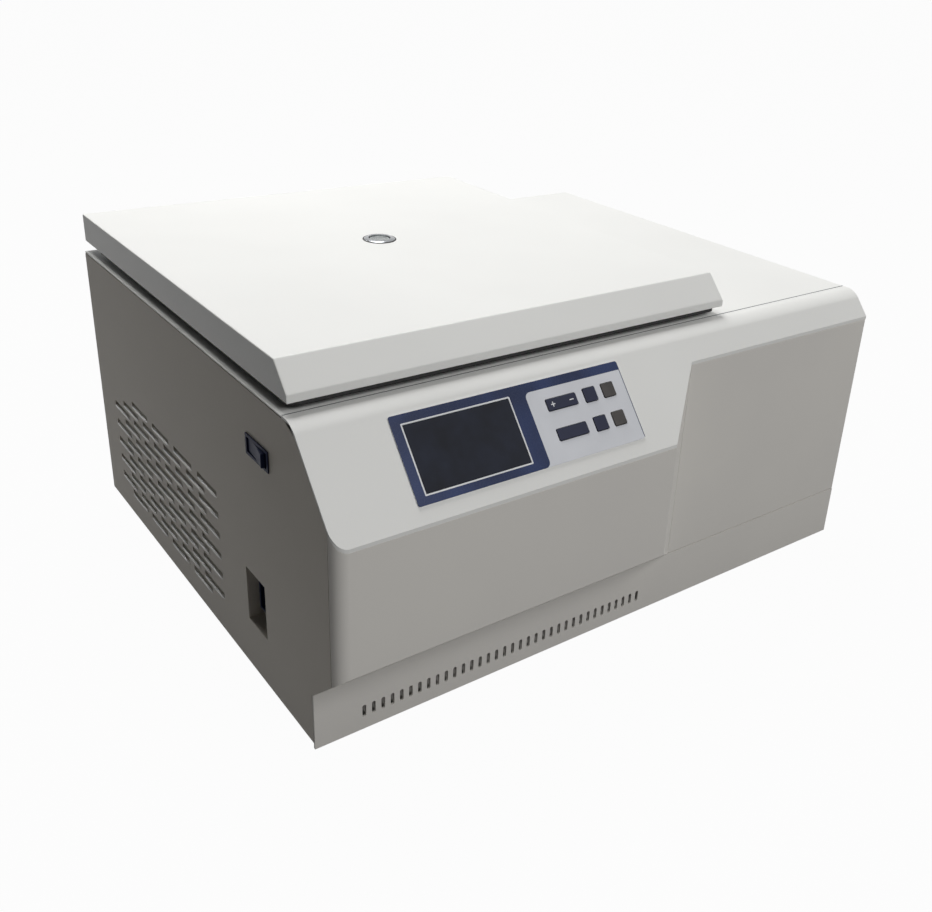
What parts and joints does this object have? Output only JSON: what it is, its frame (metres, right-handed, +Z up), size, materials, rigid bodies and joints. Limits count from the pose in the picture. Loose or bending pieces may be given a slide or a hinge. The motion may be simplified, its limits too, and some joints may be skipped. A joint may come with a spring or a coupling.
{
  "type": "refrigerated centrifuge",
  "caption": "Benchtop refrigerated centrifuge with a hinged slab lid, swing-out rotor, sloping control panel with display and keys, and louvred side panels.",
  "frame": {"origin": "bottom centre of the overall box, on the plane the feet stand on", "axes": "+Z up, +X to the right for someone facing the control panel, -Y towards that person"},
  "size_m": [0.6246, 0.533, 0.3267],
  "materials": {
    "whitePaint": "fine powder coat, off-white",
    "greyPaint": "fine powder coat, warm white",
    "steel": "bright stainless steel",
    "zincSteel": "zinc plated steel",
    "chromium": "polished chromium",
    "aluminium": "matt anodised aluminium",
    "copper": "drawn copper tube",
    "blackPaint": "black gloss enamel",
    "blackPlastic": "black moulded plastic",
    "rubber": "black rubber",
    "foam": "rigid insulating foam",
    "clearGlass": "clear glass",
    "screenGlass": "dark display window",
    "blueFilm": "printed overlay film",
    "keyBlue": "dark blue key",
    "keyBrown": "grey-brown key",
    "boardGreen": "circuit board"
  },
  "bodies": {
    "housing": {"base_pan": "zincSteel", "bulkhead": "zincSteel", "chamber_bowl": "steel", "compressor": "blackPaint", "condenser": "aluminium", "console_front": "greyPaint", "control_board": "boardGreen", "control_panel": "whitePaint", "deck": "whitePaint", "discharge_pipe": "copper", "drive_motor": "blackPaint", "evaporator_coil": "copper", "fan_shroud": "blackPlastic", "filter_drier": "copper", "foam_jacket": "foam", "foot_front_left": "rubber", "foot_front_right": "rubber", "foot_rear_left": "rubber", "foot_rear_right": "rubber", "front_skirt": "greyPaint", "hinge_leaf_deck": "steel", "left_side_panel": "greyPaint", "lid_seal": "rubber", "lock_body": "zincSteel", "motor_mount": "rubber", "motor_plate": "zincSteel", "panel_inlay": "blueFilm", "power_inlet": "blackPlastic", "rear_panel": "greyPaint", "right_front_panel": "greyPaint", "right_side_panel": "greyPaint", "right_top_cover": "whitePaint", "screen": "screenGlass", "shaft_seal": "rubber", "suction_pipe": "copper", "switch_frame": "blackPlastic"},
    "lid": {"lid_shell": "whitePaint", "lid_foam": "foam", "lid_liner": "steel", "sight_ring": "chromium", "sight_glass": "clearGlass", "lid_striker": "zincSteel", "hinge_leaf_lid": "steel"},
    "rotor": {"rotor_yoke": "aluminium", "drive_shaft": "zincSteel", "rotor_nut": "zincSteel"},
    "fan": {"condenser_fan": "blackPlastic"},
    "lock_bolt": {"lock_bolt": "steel"},
    "switch_rocker": {"switch_rocker": "blackPlastic"},
    "bucket_1": {"bucket_1": "steel"},
    "bucket_2": {"bucket_2": "steel"},
    "bucket_3": {"bucket_3": "steel"},
    "bucket_4": {"bucket_4": "steel"},
    "key_rocker_upper": {"key_rocker_upper": "keyBlue"},
    "key_middle_upper": {"key_middle_upper": "keyBlue"},
    "key_right_upper": {"key_right_upper": "keyBrown"},
    "key_rocker_lower": {"key_rocker_lower": "keyBlue"},
    "key_middle_lower": {"key_middle_lower": "keyBlue"},
    "key_right_lower": {"key_right_lower": "keyBrown"}
  },
  "joints": [
    {"name": "lid_hinge", "type": "hinge", "parent": "housing", "child": "lid", "pos_m": [-0.08771, 0.2575, 0.2928], "axis": [-1, 0, 0], "range_deg": [0, 80]},
    {"name": "rotor_spin", "type": "hinge", "parent": "housing", "child": "rotor", "pos_m": [-0.08771, 0.0571, 0.211], "axis": [0, 0, 1], "continuous": true},
    {"name": "bucket_1_swing", "type": "hinge", "parent": "rotor", "child": "bucket_1", "pos_m": [-0.00271, 0.0571, 0.211], "axis": [0, -1, 0], "range_deg": [0, 90]},
    {"name": "bucket_2_swing", "type": "hinge", "parent": "rotor", "child": "bucket_2", "pos_m": [-0.08771, 0.1421, 0.211], "axis": [1, 0, 0], "range_deg": [0, 90]},
    {"name": "bucket_3_swing", "type": "hinge", "parent": "rotor", "child": "bucket_3", "pos_m": [-0.17271, 0.0571, 0.211], "axis": [0, 1, 0], "range_deg": [0, 90]},
    {"name": "bucket_4_swing", "type": "hinge", "parent": "rotor", "child": "bucket_4", "pos_m": [-0.08771, -0.0279, 0.211], "axis": [-1, 0, 0], "range_deg": [0, 90]},
    {"name": "fan_spin", "type": "hinge", "parent": "housing", "child": "fan", "pos_m": [0.21829, 0.2045, 0.1006], "axis": [0, 1, 0], "continuous": true},
    {"name": "key_rocker_upper_tilt", "type": "hinge", "parent": "housing", "child": "key_rocker_upper", "pos_m": [-0.08581, -0.226, 0.26142], "axis": [0, 0.6464, 0.763], "range_deg": [-3, 3], "stiffness_Nm_per_rad": 0.4},
    {"name": "key_middle_upper_press", "type": "slide", "parent": "housing", "child": "key_middle_upper", "axis": [0, 0.763, -0.6464], "range_m": [0, 0.0008], "stiffness_N_per_m": 2000, "springref_m": -0.0001},
    {"name": "key_right_upper_press", "type": "slide", "parent": "housing", "child": "key_right_upper", "axis": [0, 0.763, -0.6464], "range_m": [0, 0.0008], "stiffness_N_per_m": 2000, "springref_m": -0.0001},
    {"name": "key_rocker_lower_tilt", "type": "hinge", "parent": "housing", "child": "key_rocker_lower", "pos_m": [-0.08581, -0.24216, 0.24235], "axis": [0, 0.6464, 0.763], "range_deg": [-3, 3], "stiffness_Nm_per_rad": 0.4},
    {"name": "key_middle_lower_press", "type": "slide", "parent": "housing", "child": "key_middle_lower", "axis": [0, 0.763, -0.6464], "range_m": [0, 0.0008], "stiffness_N_per_m": 2000, "springref_m": -0.0001},
    {"name": "key_right_lower_press", "type": "slide", "parent": "housing", "child": "key_right_lower", "axis": [0, 0.763, -0.6464], "range_m": [0, 0.0008], "stiffness_N_per_m": 2000, "springref_m": -0.0001},
    {"name": "switch_rock", "type": "hinge", "parent": "housing", "child": "switch_rocker", "pos_m": [-0.30371, -0.14595, 0.24085], "axis": [0, 0, 1], "range_deg": [0, 16]},
    {"name": "lock_bolt_slide", "type": "slide", "parent": "housing", "child": "lock_bolt", "axis": [-1, 0, 0], "range_m": [0, 0.014]}
  ]
}
